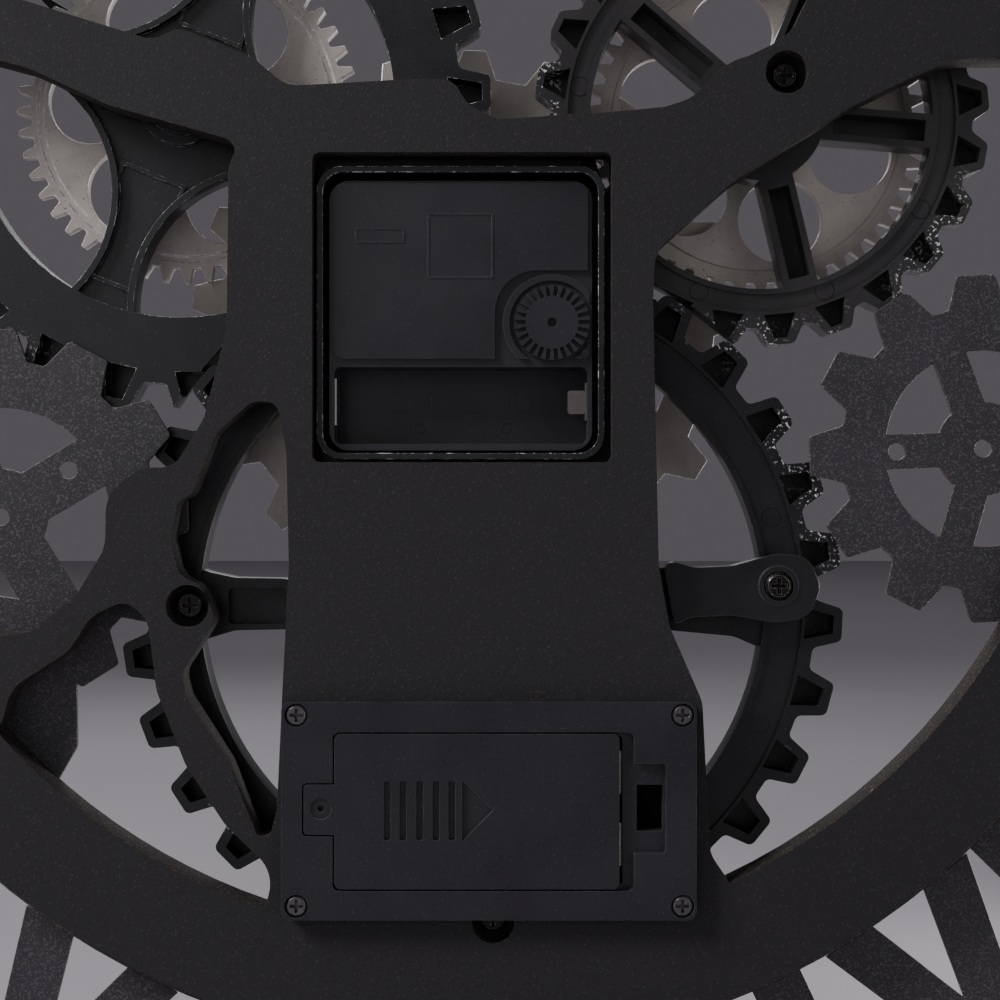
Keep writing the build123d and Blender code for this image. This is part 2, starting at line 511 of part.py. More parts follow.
def make_second_wheel():
    phase = meshed_phase(0.0, THIRD_TEETH, SECOND_PINION, SECOND_ANGLE)
    wheel = slab(train_wheel(SECOND_TEETH, SECOND_MODULE, 0.0, SECOND_AXIS), 7.0, 8.0)
    wheel += slab(train_wheel(SECOND_PINION, THIRD_MODULE, phase, SECOND_AXIS), 8.0, 9.8)
    return pivoted(wheel, SECOND_AXIS, 6.0, 16.5)


def make_stepper_rotor():
    magnet = slab(disc(2.2, ROTOR_AXIS), 6.8, 9.0) + slab(disc(0.9, ROTOR_AXIS), 9.0, 10.2)
    return pivoted(magnet, ROTOR_AXIS, 6.0, 16.5)


def minute_wheel_phase():
    return meshed_phase(0.0, CANNON_TEETH, MINUTE_TEETH, MINUTE_ANGLE)


def make_minute_wheel():
    wheel = slab(train_wheel(MINUTE_TEETH, MOTION_MODULE, minute_wheel_phase(), MINUTE_AXIS), 12.4, 13.6)
    wheel += slab(train_wheel(MINUTE_PINION, HOUR_MODULE, 0.0, MINUTE_AXIS), 13.6, 15.6)
    return pivoted(wheel, MINUTE_AXIS, 6.0, 16.5)


def make_hour_wheel():
    """The hour wheel and its pipe, which carries the hour hand."""
    phase = meshed_phase(0.0, MINUTE_PINION, HOUR_TEETH, MINUTE_ANGLE + 180)
    wheel = slab(train_wheel(HOUR_TEETH, HOUR_MODULE, phase), 14.2, 15.3) + slab(disc(PIPE_R), 15.3, 33.0)
    return wheel - slab(disc(ARBOR_R + RUNNING), 0, 40)


def make_knob():
    """The setting knob: a fluted rim, a small centre hole, and a pinion on its stem."""
    direction = degrees(atan2(KNOB[1] - MINUTE_AXIS[1], KNOB[0] - MINUTE_AXIS[0]))
    phase = meshed_phase(minute_wheel_phase(), MINUTE_TEETH, KNOB_TEETH, direction)
    knob = slab(disc(8.0, KNOB), 2.4, 4.7)
    flutes = Sketch() + [Rot(0, 0, 360 / 26 * n) * Pos(7.2, 0) * Rectangle(3.2, 0.9) for n in range(26)]
    knob -= slab(Pos(*KNOB) * flutes, 2.4, 3.6)
    knob += slab(disc(1.5, KNOB), 4.7, 14.2)
    knob += slab(train_wheel(KNOB_TEETH, MOTION_MODULE, phase, KNOB), 12.4, 13.6)
    return knob - slab(disc(1.0, KNOB), 2.0, 3.8)


def make_coil():
    """The stepper's coil on its bobbin, round the iron core."""
    flanges = slab(panel(((-24.0, 18.6), (-22.8, 26.6))), 7.0, 14.0) + slab(panel(((-5.2, 18.6), (-4.0, 26.6))), 7.0, 14.0)
    return flanges + slab(panel(((-22.8, 19.2), (-5.2, 26.0)), 0.8), 7.6, 13.4) - slab(panel(((-25, 21.8), (-3, 23.6))), 9.0, 10.6)


def make_stator():
    """Iron core and stator plate; the rotor turns in its round hole."""
    core = slab(panel(((-25.2, 21.9), (-2.0, 23.5))), 9.1, 10.5)
    leg = slab(panel(((-3.4, 21.8), (0.4, 27.2))), 6.6, 10.5)
    plate = slab(panel(((-3.4, 21.8), (20.0, 27.4)), 1.0), 6.6, 8.0)
    return core + leg + plate - slab(disc(2.7, ROTOR_AXIS), 0, 9)


def make_circuit():
    board = slab(panel(((-25.0, 11.4), (-6.0, 17.6)), 0.4), 6.6, 7.6)
    return board + slab(panel(((-18, 12.6), (-12.5, 16.6))), 7.6, 9.0) + slab(disc(1.2, (-22, 14.5)), 7.6, 10.5)


def make_contacts():
    """The bright spring clip at one end of the movement's cell bay and the plain strip at the other."""
    clip = slab(panel(((-25.9, -22.0), (-25.5, -14.0))), 5.6, 13.0) + slab(panel(((-25.6, -20.6), (-21.8, -15.6)), 0.6), 5.6, 6.0)
    strip = slab(panel(((27.5, -23.0), (27.9, -13.0))), 5.6, 13.0)
    return group([clip, strip])


# ---- Hands and their fixings ----
def make_hand(reach, tail, root_width, hole_radius, start, end):
    """A tapered open-work hand that points along +Z before it is turned."""
    blade = sharp_outline((-root_width / 2, 0), (-root_width * 0.75, reach * 0.55), (0, reach), (root_width * 0.75, reach * 0.55),
                    (root_width / 2, 0), (root_width * 0.35, -tail), (-root_width * 0.35, -tail))
    window = sharp_outline((-root_width * 0.22, reach * 0.25), (-root_width * 0.42, reach * 0.56), (0, reach * 0.82),
                     (root_width * 0.42, reach * 0.56), (root_width * 0.22, reach * 0.25))
    return slab(blade - window + disc(root_width * 0.95) - disc(hole_radius), start, end)


def turned_hand(hand, clockwise):
    return Rot(0, clockwise, 0) * hand


def make_hex_nut(across, hole, start, end):
    return slab(RegularPolygon(across / 2, 6, major_radius=False) - disc(hole), start, end)


def make_hand_nut():
    nut = slab(disc(3.6) - disc(ARBOR_R + 0.02), 35.3, 36.8) + slab(disc(3.6), 36.8, 38.0)
    return chamfer(nut.faces().sort_by(Axis.Y)[0].edges(), 0.5)


# ---- Battery box ----
def make_box_housing():
    """Flange, recess for the door, lock well at the side and the tray for two cells."""
    flange = slab(panel(FLANGE, 2.0), -FLANGE_PROUD, 0)
    box = flange + slab(panel(TRAY, 1.0), 0, TRAY_DEPTH)
    door_well = panel(((DOOR[0][0] - 0.3 - DOOR_TRAVEL, DOOR[0][1] - 0.4), (DOOR[1][0] + 0.4, DOOR[1][1] + 0.4)), 1.4)
    tab_well = panel(((DOOR[1][0] - 1, -109.2), (34.0, -98.0)), 1.0)
    lock_well = panel(((-42.0, -112.8), (-34.0, -94.0)), 0.8)
    box -= slab(door_well + tab_well + lock_well, -FLANGE_PROUD, -FLANGE_PROUD + DOOR_THICK + 0.2)
    box -= slab(panel(LOCK_WINDOW, 0.4), -FLANGE_PROUD, 1)
    cells = panel(((TRAY[0][0] + BOX_WALL, TRAY[0][1] + BOX_WALL), (TRAY[1][0] - BOX_WALL, TRAY[1][1] - BOX_WALL)), 0.6)
    box -= slab(cells, -FLANGE_PROUD, TRAY_DEPTH - BOX_WALL)
    box += slab(panel(((-24, -104.4), (18, -103.6))), TRAY_DEPTH - 5, TRAY_DEPTH)
    for spot in FLANGE_SCREWS:
        box -= slab(disc(2.45, spot), -FLANGE_PROUD, -1.6)
        box -= slab(disc(1.3, spot), -FLANGE_PROUD, 1)
    return box


def make_door():
    """The sliding door: grip grooves, an arrow, and a tab with the lock's round recess."""
    door = slab(panel(DOOR, 1.4) + panel(((DOOR[1][0] - 2, -108.8), (33.6, -98.4)), 0.8), -FLANGE_PROUD, -FLANGE_PROUD + DOOR_THICK)
    grooves = Sketch() + [panel(((x - 0.75, -110.0), (x + 0.75, -97.6)), 0.5) for x in (16.2, 12.9, 9.4, 6.0, 2.7)]
    arrow = sharp_outline((0.6, -110.2), (0.6, -97.4), (-5.9, -103.8))
    door -= slab(grooves + arrow, -FLANGE_PROUD, -FLANGE_PROUD + 0.9)
    door -= slab(disc(2.3, (30.1, -103.4)), -FLANGE_PROUD, -FLANGE_PROUD + 0.5)
    return door - slab(disc(0.7, (30.1, -103.4)), -FLANGE_PROUD, 0)


def make_box_contacts():
    """Two plates at one end of the cell tray and two coiled springs' plates at the other."""
    left, right = TRAY[0][0] + BOX_WALL + 0.05, TRAY[1][0] - BOX_WALL - 0.05
    pieces = []
    for z in (-111.6, -96.4):
        pieces.append(slab(panel(((left, z - 4.5), (left + 0.5, z + 4.5))), 1.0, 11.0))
        pieces.append(slab(panel(((right - 0.5, z - 4.5), (right, z + 4.5))), 1.0, 11.0))
        for turn in range(3):
            coil = Torus(3.2 - 0.6 * turn, 0.35)
            pieces.append(Pos(right - 1.1 - 1.0 * turn, BACK_Y - 6.0, z) * Rot(0, 90, 0) * coil)
    return group(pieces)


# ---- Hanger ----
def make_hanger():
    plate = panel(((-15, HANGER[1] - 8), (15, HANGER[1] + 8)), 3.0)
    plate -= disc(4.5, HANGER)
    plate -= Pos(HANGER[0], HANGER[1] + 4.5) * Rectangle(3.6, 4.4)
    for x in (-HANGER_HOLES, HANGER_HOLES):
        plate -= disc(1.4, (x, HANGER[1]))
    return slab(plate, -1.2 - PAINT_FILM, -PAINT_FILM)


# ---- Nodes ----
parts["back_frame"] = make_frame()
parts["dial_inner_ring"] = slab(annulus(*DIAL_INNER_RING), *SHEET)
parts["dial_outer_ring"] = make_outer_ring()
parts["dial_numerals"] = make_numerals()
parts["sheet_gear_left"] = slab(make_sheet_gear(LEFT_SHEET_GEAR, 37.6, 30.6, 27.6, 5, -2.0, 7.5, 21.1, 10.1)
                                - disc(1.85, polar(18.6, -2.0, LEFT_SHEET_GEAR)), *SHEET)
parts["sheet_gear_right"] = slab(make_sheet_gear(RIGHT_SHEET_GEAR, 40.7, 33.8, 28.0, 4, 59.0, 11.6, 23.5, 10.4,
                                                 [(84, -62), (83.6, -92), (87.6, -99), (98, -108), (128, -70), (112, -58)])
                                 - disc(1.85, (85.5, -32.5)), *SHEET)
parts["gear_ring_lower"] = make_lower_gear()
parts["gear_ring_upper_right"] = make_upper_right_gear()
parts["gear_ring_upper_left"] = make_upper_left_gear()
parts["gear_bridge"] = make_bridge()
parts["movement_pocket"] = make_pocket()
parts["movement_back_case"] = make_back_case()
parts["movement_front_case"] = make_front_case()
parts["movement_contacts"] = make_contacts()
parts["movement_coil"] = make_coil()
parts["movement_stator"] = make_stator()
parts["movement_circuit"] = make_circuit()
parts["stepper_rotor"] = make_stepper_rotor()
parts["second_wheel"] = make_second_wheel()
parts["third_wheel"] = make_third_wheel()
parts["centre_wheel"] = make_centre_wheel()
parts["minute_wheel"] = make_minute_wheel()
parts["hour_wheel"] = make_hour_wheel()
parts["setting_knob"] = make_knob()
parts["bushing_washer"] = slab(annulus(BUSHING_R + 0.1, 9.5), 27.5, 28.2)
parts["bushing_nut"] = make_hex_nut(13.0, BUSHING_R + 0.02, 28.2, 30.4)
parts["hour_hand"] = turned_hand(make_hand(88, 20, 11, PIPE_R + 0.02, 31.2, 32.4), 305)
parts["minute_hand"] = turned_hand(make_hand(128, 28, 10, ARBOR_R + 0.02, 34.0, 35.2), 52)
parts["hand_nut"] = make_hand_nut()
parts["drive_motor"] = make_motor()
parts["motor_screws"] = group([slab(disc(2.0, (x, MOTOR[1])), 10.2, 11.4) + slab(disc(0.98, (x, MOTOR[1])), 4.0, 10.2)
                               for x in (-MOTOR_EAR, MOTOR_EAR)])
parts["motor_pinion"] = make_pinion()
parts["drive_gear"] = make_drive_gear()
parts["star_gear"] = make_star_gear()
parts["turning_gear_right"] = make_rotor(RIGHT_GEAR_POST, RIGHT_ROTOR_ANGLE, 6.3)
parts["turning_gear_left"] = make_rotor(LEFT_GEAR_POST, LEFT_ROTOR_ANGLE, 15.7)
parts["shoulder_screw_right"] = shoulder_screw(RIGHT_GEAR_POST)
parts["shoulder_screw_left"] = shoulder_screw(LEFT_GEAR_POST)
parts["battery_box_housing"] = make_box_housing()
parts["battery_door"] = make_door()
parts["battery_box_contacts"] = make_box_contacts()
parts["battery_box_screws"] = group([screw(spot, -3.3, 1.6, 2.3, 7.5, 1.18) for spot in FLANGE_SCREWS])
parts["frame_screws"] = group([screw(spot, COUNTERBORE_DEPTH - 1.9, 1.9, SCREW_HEAD_R, 17.0, SCREW_SHANK_R)
                               for spot in SCREW_SPOTS.values()])
parts["bridge_screw"] = screw(BRIDGE_SCREW, 5.0, 1.9, SCREW_HEAD_R, 17.0, SCREW_SHANK_R)
parts["hanger_plate"] = make_hanger()
parts["hanger_screws"] = group([screw((x, HANGER[1]), -2.4 - PAINT_FILM, 1.2, 2.4, 5.5, 1.18)
                                for x in (-HANGER_HOLES, HANGER_HOLES)])

os.makedirs("parts", exist_ok=True)
for name, shape in parts.items():
    export_step(shape, f"parts/{name}.step")
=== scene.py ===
import json
import logging
from dataclasses import dataclass, field, replace
from enum import Enum
from math import pi, radians

import bmesh
import bpy
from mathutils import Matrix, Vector

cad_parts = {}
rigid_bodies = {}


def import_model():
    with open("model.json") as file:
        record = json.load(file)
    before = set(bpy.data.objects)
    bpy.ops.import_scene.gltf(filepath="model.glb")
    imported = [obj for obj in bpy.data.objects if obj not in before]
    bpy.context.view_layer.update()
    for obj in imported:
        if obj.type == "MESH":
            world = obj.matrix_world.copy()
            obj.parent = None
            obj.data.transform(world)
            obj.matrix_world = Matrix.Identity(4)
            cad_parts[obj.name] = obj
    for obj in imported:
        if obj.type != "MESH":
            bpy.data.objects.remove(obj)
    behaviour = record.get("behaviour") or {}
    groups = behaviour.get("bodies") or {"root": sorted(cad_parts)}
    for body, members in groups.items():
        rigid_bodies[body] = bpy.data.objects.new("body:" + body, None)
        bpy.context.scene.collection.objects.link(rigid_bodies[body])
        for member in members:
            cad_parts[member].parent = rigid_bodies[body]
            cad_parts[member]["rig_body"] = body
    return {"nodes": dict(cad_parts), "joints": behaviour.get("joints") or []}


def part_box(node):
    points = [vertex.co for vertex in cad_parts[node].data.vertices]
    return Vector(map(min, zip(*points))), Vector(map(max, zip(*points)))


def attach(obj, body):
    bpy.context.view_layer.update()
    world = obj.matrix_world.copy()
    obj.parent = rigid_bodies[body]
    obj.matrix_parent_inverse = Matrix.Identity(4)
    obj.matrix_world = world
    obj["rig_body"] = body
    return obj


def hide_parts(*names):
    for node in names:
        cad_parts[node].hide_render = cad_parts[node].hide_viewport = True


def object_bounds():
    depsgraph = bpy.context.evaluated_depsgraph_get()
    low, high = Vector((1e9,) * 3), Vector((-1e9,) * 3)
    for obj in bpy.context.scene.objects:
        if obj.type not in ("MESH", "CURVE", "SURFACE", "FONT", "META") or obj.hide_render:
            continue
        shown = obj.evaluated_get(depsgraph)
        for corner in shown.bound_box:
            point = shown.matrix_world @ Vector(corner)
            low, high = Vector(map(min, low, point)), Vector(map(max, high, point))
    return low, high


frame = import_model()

"""Looks of the gear skeleton wall clock: a painted board frame, a powder-coated sheet dial, moulded gear
rings with scuffed edges, aged silver turning gears, a quartz movement and a two-cell battery box.

Lengths are metres in the row's frame: -Y towards the viewer of the dial, +Y towards the wall."""

LOG = logging.getLogger("skeleton_clock")
MM = 0.001
CAD_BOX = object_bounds()
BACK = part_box("back_frame")[1].y        # the board's back face, which the eye meets first
NOISE_ROUGHNESS = 0.6                   # how strongly the finer levels of a noise show
RAREST_LEVEL = 0.72                     # noise above this is almost nowhere
LEVEL_SPAN = 0.42                       # how far that level drops before the whole surface is covered
PATCH_MM = 26.0                         # the size of the stretches of rim that hands have rubbed


def linear(colour: str) -> tuple[float, float, float, float]:
    """Turns an sRGB hex colour to linear light.

    Args:
        colour: six hex digits after a hash.

    Returns:
        Red, green, blue and an alpha of one.
    """
    channels = [int(colour[i:i + 2], 16) / 255 for i in (1, 3, 5)]
    return tuple(c / 12.92 if c <= 0.04045 else ((c + 0.055) / 1.055) ** 2.4 for c in channels) + (1.0,)


def add(tree: bpy.types.NodeTree, kind: str, inputs: dict | None = None, **settings: object) -> bpy.types.Node:
    """Adds one shader node.

    Args:
        tree: the material's node tree.
        kind: the node's type name.
        inputs: socket name or number to a value, or to the output socket that feeds it.
        settings: the node's own properties.

    Returns:
        The new node.
    """
    node = tree.nodes.new(kind)
    for name, value in settings.items():
        setattr(node, name, value)
    for socket, value in (inputs or {}).items():
        if isinstance(value, bpy.types.NodeSocket):
            tree.links.new(value, node.inputs[socket])
        else:
            node.inputs[socket].default_value = value
    return node


@dataclass(frozen=True)
class Finish:
    """One real surface: its colour, its cloudiness, its grit and its wear.

    Every *_mm field is the real size of that pattern; a height is how far the grain stands out.
    """

    name: str
    base: str
    cloud: str
    roughness: float
    cloud_mm: float = 18.0
    speck: str = "#000000"
    speck_mm: float = 1.0
    speck_share: float = 0.0
    grain_mm: float = 0.6
    grain_height_mm: float = 0.03
    chip: str = "#000000"
    chip_mm: float = 2.0
    chip_share: float = 0.0
    metallic: float = 0.0
    roughness_spread: float = 0.12
    ior: float = 1.5
    stretch: tuple[float, float, float] = (1.0, 1.0, 1.0)
    worn: str = "#e9e7e7"
    worn_mm: float = 0.8
    worn_share: float = 0.0
    worn_round: tuple[float, float, float] | None = None      # x, z and radius in metres: rubbed beyond it

    def flakes(self, tree: bpy.types.NodeTree, where: bpy.types.NodeSocket, size_mm: float, share: float,
               detail: float, softness: float = 0.04) -> bpy.types.NodeSocket:
        """Scatters flakes, fibres or chips over the surface.

        Args:
            tree: the material's node tree.
            where: the place on the piece.
            size_mm: about how large the flakes are.
            share: about how much of the surface they cover.
            detail: how ragged they are.
            softness: how gradually they fade at the rim.

        Returns:
            A socket that is one on a flake and zero beside it.
        """
        grit = add(tree, "ShaderNodeTexNoise", {"Vector": where, "Scale": 1 / (size_mm * MM), "Detail": detail,
                                                "Roughness": NOISE_ROUGHNESS}).outputs["Fac"]
        level = RAREST_LEVEL - LEVEL_SPAN * share
        return add(tree, "ShaderNodeMapRange", {"Value": grit, "From Min": level,
                                                "From Max": level + softness}).outputs["Result"]

    def rubbed(self, tree: bpy.types.NodeTree, place: bpy.types.NodeSocket,
               mapped: bpy.types.NodeSocket) -> bpy.types.NodeSocket:
        """Marks where paint is rubbed off the wall that lies beyond worn_round's radius.

        Args:
            tree: the material's node tree.
            place: the true place on the piece.
            mapped: the same place, stretched as the finish's patterns are.

        Returns:
            A socket that is one where the paint has gone.
        """
        x, z, radius = self.worn_round
        spoke = add(tree, "ShaderNodeMapping", {"Vector": place, "Location": (-x, 0.0, -z), "Scale": (1, 0, 1)})
        far = add(tree, "ShaderNodeVectorMath", {0: spoke.outputs["Vector"]},
                  operation="LENGTH").outputs["Value"]
        outside = add(tree, "ShaderNodeMapRange", {"Value": far, "From Min": radius, "From Max": radius + MM})
        chips = self.flakes(tree, mapped, self.worn_mm, self.worn_share, 5.0)
        patches = self.flakes(tree, mapped, PATCH_MM, 0.5, 2.0, 0.10)
        beyond = add(tree, "ShaderNodeMath", {0: chips, 1: outside.outputs["Result"]}, operation="MULTIPLY")
        return add(tree, "ShaderNodeMath", {0: beyond.outputs["Value"], 1: patches},
                   operation="MULTIPLY").outputs["Value"]

    def material(self) -> bpy.types.Material:
        """Builds the finish once and gives the same material from then on.

        Returns:
            The material, named for the finish.
        """
        made = bpy.data.materials.get(self.name)
        if made:
            return made
        made = bpy.data.materials.new(self.name)
        made.use_nodes = True
        tree = made.node_tree
        tree.nodes.clear()
        place = add(tree, "ShaderNodeTexCoord").outputs["Object"]
        mapped = add(tree, "ShaderNodeMapping", {"Vector": place, "Scale": self.stretch}).outputs["Vector"]
        clouds = add(tree, "ShaderNodeTexNoise", {"Vector": mapped, "Scale": 1 / (self.cloud_mm * MM),
                                                  "Detail": 5.0, "Roughness": NOISE_ROUGHNESS}).outputs["Fac"]
        soft = add(tree, "ShaderNodeMapRange", {"Value": clouds, "From Min": 0.35,
                                                "From Max": 0.65}).outputs["Result"]
        layers = [(soft, self.cloud)]
        if self.speck_share:
            layers.append((self.flakes(tree, mapped, self.speck_mm, self.speck_share, 1.0), self.speck))
        if self.chip_share:
            layers.append((self.flakes(tree, mapped, self.chip_mm, self.chip_share, 4.0, 0.06), self.chip))
        if self.worn_round:
            layers.append((self.rubbed(tree, place, mapped), self.worn))
        colour = linear(self.base)
        for amount, over in layers:
            colour = add(tree, "ShaderNodeMix", {0: amount, 6: colour, 7: linear(over)},
                         data_type="RGBA").outputs[2]
        grain = add(tree, "ShaderNodeTexNoise", {"Vector": mapped, "Scale": 1 / (self.grain_mm * MM),
                                                 "Detail": 2.0, "Roughness": NOISE_ROUGHNESS}).outputs["Fac"]
        bump = add(tree, "ShaderNodeBump", {"Height": grain, "Distance": self.grain_height_mm * MM,
                                            "Strength": 1.0})
        half_spread = self.roughness_spread / 2
        rough = add(tree, "ShaderNodeMapRange", {"Value": clouds, "From Min": 0.3, "From Max": 0.7,
                                                 "To Min": self.roughness - half_spread,
                                                 "To Max": self.roughness + half_spread})
        shader = add(tree, "ShaderNodeBsdfPrincipled", {
            "Base Color": colour, "Roughness": rough.outputs["Result"], "Metallic": self.metallic,
            "IOR": self.ior, "Normal": bump.outputs["Normal"]})
        add(tree, "ShaderNodeOutputMaterial", {"Surface": shader.outputs["BSDF"]})
        return made


class Paint(Enum):
    """The finishes of the clock, each named for the real material."""

    # Water-based paint rolled on fibreboard: matt, a little dusty, with pale and brown fibres caught in it.
    BOARD = Finish("painted_fibreboard", "#1b181c", "#211e22", 0.78, 26.0, "#3c3536", 0.45, 0.16, 0.5, 0.09,
                   "#544743", 0.9, 0.02)
    # The routed edge of the board: fibres stand up, and the paint soaks in and leaves brown showing.
    BOARD_CUT = Finish("painted_cut_fibreboard", "#191618", "#2a2321", 0.9, 4.0, "#66503f", 0.6, 0.20, 0.6,
                       0.35, "#7a6450", 1.9, 0.12)
    # The arris of the board: chipped and rubbed, so pale brown board shows in short runs.
    BOARD_ARRIS = Finish("chipped_fibreboard_arris", "#231f20", "#3d322d", 0.85, 4.0, "#a18b74", 0.6, 0.34,
                         0.6, 0.25, "#c0a98f", 1.6, 0.26)
    # Powder coat on laser-cut sheet steel: charcoal with a fine light fleck.
    POWDER = Finish("flecked_powder_coat", "#2d2a2f", "#343136", 0.6, 16.0, "#535054", 0.4, 0.34, 0.45, 0.05)
    # The cut edge of the sheet: its paler base is a painted highlight where it catches the light, and the brown
    # chips are real wear where the coat is thin.
    POWDER_EDGE_CHIPS_AND_HIGHLIGHT = Finish("powder_coat_cut_edge_chips_and_painted_highlight", "#3a3436", "#54494a", 0.5, 4.0, "#98908c", 0.4, 0.2, 0.4, 0.05,
                         "#8a7468", 1.4, 0.22)
    # Injection-moulded ABS straight from a spark-eroded tool: near black, with a soft sheen.
    ABS = Finish("moulded_abs", "#1b1d21", "#24262a", 0.38, 20.0, "#4a4b50", 0.45, 0.05, 0.5, 0.02)
    # The lug plate: the same ABS, painted a shade blacker as painted shade.
    LUG_PAINTED_SHADE = Finish("moulded_abs_lug_painted_shade", "#141518", "#1c1d20", 0.38, 20.0, "#424347", 0.45, 0.05, 0.5, 0.02)
    # The moulding's sprayed edges, rubbed through to bright silver paint.
    ABS_SCUFF = Finish("scuffed_moulding_edge", "#242529", "#55545a", 0.42, 5.0, "#bdbaba", 0.7, 0.30, 0.5,
                       0.04, "#f2f0f0", 2.6, 0.36)
    # The same moulding's clean arrises, painted a little paler than its faces as a painted highlight.
    ABS_ARRIS_PAINTED_HIGHLIGHT = Finish("moulded_abs_arris_painted_highlight", "#2a2b2f", "#3a3a3f", 0.4, 6.0, "#5c5c62", 0.5, 0.10, 0.4, 0.02)
    # The movement's case: smoother ABS with a satin sheen.
    CASE = Finish("satin_case_abs", "#28272c", "#2f2e33", 0.34, 30.0, "#4d4c53", 0.35, 0.05, 0.4, 0.012)
    # The case's moulded arrises, painted paler than the case as a painted highlight.
    CASE_ARRIS_PAINTED_HIGHLIGHT = Finish("satin_case_arris_painted_highlight", "#403f46", "#56555c", 0.3, 8.0, "#8a8890", 0.4, 0.10, 0.3, 0.01)
    # The battery box: the same ABS with a fine eroded texture and a bluer black.
    BOX = Finish("textured_box_abs", "#1e1b22", "#242229", 0.45, 24.0, "#46424b", 0.4, 0.10, 0.4, 0.02)
    # The box's arrises: the eroded texture worn smooth, and a paler colour painted on as a highlight where they
    # catch the light.
    BOX_ARRIS_PAINTED_HIGHLIGHT = Finish("textured_box_arris_painted_highlight", "#4a4750", "#67636c", 0.38, 6.0, "#918d96", 0.4, 0.14, 0.3, 0.01)
    # Silver spray over a moulding, aged to a warm beige grey.
    SILVER = Finish("aged_silver_paint", "#b8b0a9", "#ccc5be", 0.46, 9.0, "#8b837d", 0.6, 0.05, 0.5, 0.03,
                    metallic=0.15)
    # The same paint on the arrises: rubbed bright, with grime in the low places.
    SILVER_EDGE = Finish("rubbed_silver_edge", "#cbc4be", "#e8e4e1", 0.38, 3.0, "#fbfafa", 0.8, 0.40, 0.4, 0.02,
                         "#6a6360", 2.4, 0.10, metallic=0.15)
    # Nickel plate on spring steel: a bright, slightly warm mirror with fine draw lines.
    NICKEL = Finish("nickel_plated_steel", "#c9c5bf", "#b5b0aa", 0.22, 5.0, grain_mm=0.3, grain_height_mm=0.01,
                    metallic=1.0, stretch=(1.0, 1.0, 6.0))
    # Black oxide on a cheap screw, rusty brown where the driver has bitten.
    BLACKED = Finish("blackened_screw_steel", "#1c1b1d", "#2a2724", 0.38, 1.6, "#5b4436", 0.5, 0.12, 0.3, 0.02,
                     metallic=0.6)
    # Dull zinc over steel on the small flange screws: mid grey, with a darker cross.
    ZINC = Finish("dull_zinc_screw", "#6a696c", "#58575a", 0.36, 1.2, "#3a3839", 0.4, 0.15, 0.3, 0.02,
                  metallic=0.7)
    # Screw arrises where the driver has rubbed through to bright steel.
    BLACKED_EDGE = Finish("driver_rubbed_steel", "#4a4544", "#77706c", 0.3, 0.9, "#b9b2ac", 0.4, 0.3, 0.3, 0.01,
                          metallic=0.8)
    # Cast and turned brass, dulled by handling.
    BRASS = Finish("turned_brass", "#b08d4c", "#9a7a40", 0.3, 4.0, grain_mm=0.25, grain_height_mm=0.01,
                   metallic=1.0)
    # Unfilled acetal wheels: milky and waxy.
    ACETAL = Finish("moulded_acetal", "#dedcd4", "#cfccc2", 0.35, 3.0, grain_mm=0.3, grain_height_mm=0.005)
    # Enamelled copper wire, wound tight: reddish, with fine turns across it.
    COPPER = Finish("enamelled_copper_winding", "#8a4426", "#a9582f", 0.32, 1.5, grain_mm=0.25,
                    grain_height_mm=0.05, metallic=0.8, stretch=(4.0, 1.0, 1.0))
    # Stamped silicon iron, grey with a dull rolled sheen.
    IRON = Finish("stamped_iron", "#77777a", "#8a8a8c", 0.4, 3.0, grain_mm=0.3, grain_height_mm=0.01,
                  metallic=0.9)
    # Solder-masked glass laminate: deep green and glossy.
    LAMINATE = Finish("green_circuit_laminate", "#16452b", "#1d5535", 0.3, 3.0, grain_mm=0.4,
                      grain_height_mm=0.01)
    # Black lacquer on stamped aluminium hands.
    LACQUER = Finish("black_lacquered_aluminium", "#151516", "#1c1c1e", 0.28, 14.0, grain_mm=0.5,
                     grain_height_mm=0.01)
    # A pale painted studio floor.
    FLOOR = Finish("pale_studio_floor", "#a7a3a9", "#aaa6ac", 0.85, 200.0, grain_mm=2.0, grain_height_mm=0.05)


